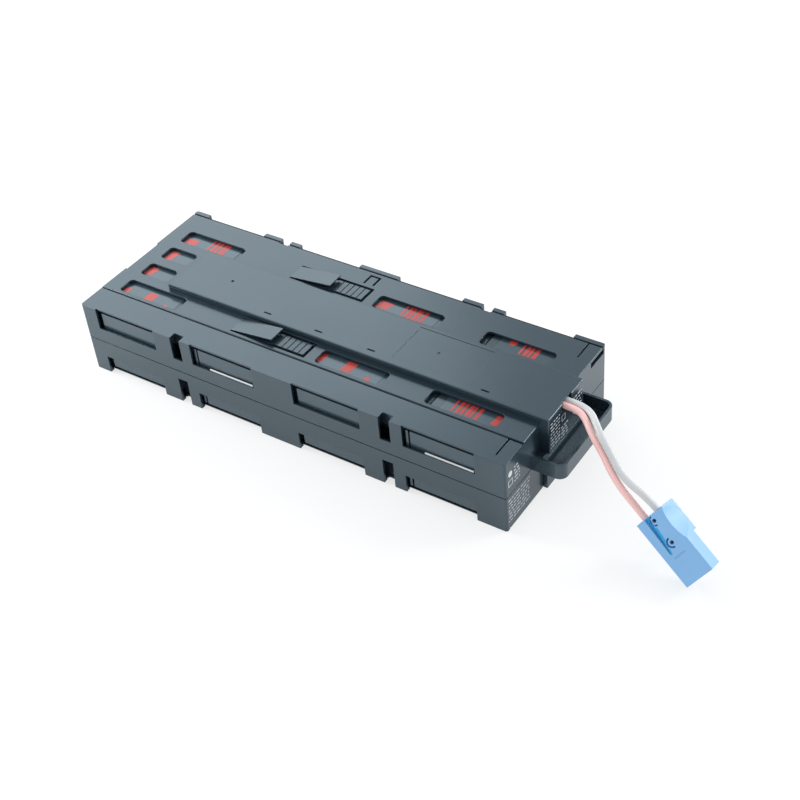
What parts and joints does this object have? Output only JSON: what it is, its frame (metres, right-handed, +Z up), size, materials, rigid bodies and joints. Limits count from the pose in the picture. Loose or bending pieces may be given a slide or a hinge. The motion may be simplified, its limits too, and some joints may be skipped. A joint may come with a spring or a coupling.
{
  "type": "ups battery cartridge",
  "caption": "Flat replaceable battery pack in a two-part vented housing with a wiring cover, a pull handle and two leads to a plug-in power connector.",
  "frame": {"origin": "centre of the housing's resting face, under the middle of its length and width", "axes": "+X along the length towards the pull handle and the leads, +Y across, +Z up out of the face that carries the wiring cover"},
  "size_m": [0.5944, 0.164, 0.078],
  "materials": {
    "shell_plastic": "near-black moulded plastic, fine satin texture",
    "cover_plastic": "near-black moulded plastic, smoother satin",
    "battery_case_plastic": "dark battery case plastic",
    "battery_lid_plastic": "dark battery lid plastic",
    "battery_label_film": "dark printed film with plain red fields",
    "terminal_metal": "tinned brass blade",
    "receptacle_sleeve": "insulated push-on receptacle",
    "jumper_insulation": "black wire insulation",
    "positive_insulation": "pale pink lead insulation",
    "negative_insulation": "pale grey lead insulation",
    "connector_plastic": "light blue connector housing",
    "contact_metal": "plated power contact"
  },
  "bodies": {
    "root": {"battery_case_1": "battery_case_plastic", "battery_case_2": "battery_case_plastic", "battery_case_3": "battery_case_plastic", "battery_case_4": "battery_case_plastic", "battery_label_1": "battery_label_film", "battery_label_2": "battery_label_film", "battery_label_3": "battery_label_film", "battery_label_4": "battery_label_film", "battery_lid_1": "battery_lid_plastic", "battery_lid_2": "battery_lid_plastic", "battery_lid_3": "battery_lid_plastic", "battery_lid_4": "battery_lid_plastic", "battery_terminals_1": "terminal_metal", "battery_terminals_2": "terminal_metal", "battery_terminals_3": "terminal_metal", "battery_terminals_4": "terminal_metal", "connector_contacts": "contact_metal", "connector_housing": "connector_plastic", "inner_lead_negative": "negative_insulation", "inner_lead_positive": "positive_insulation", "jumper_1_2": "jumper_insulation", "jumper_2_3": "jumper_insulation", "jumper_3_4": "jumper_insulation", "lead_negative": "negative_insulation", "lead_positive": "positive_insulation", "lower_shell": "shell_plastic", "pull_handle": "shell_plastic", "terminal_receptacles": "receptacle_sleeve", "upper_shell": "shell_plastic", "vent_cover_1": "battery_lid_plastic", "vent_cover_2": "battery_lid_plastic", "vent_cover_3": "battery_lid_plastic", "vent_cover_4": "battery_lid_plastic", "wiring_cover": "cover_plastic"}
  },
  "joints": []
}
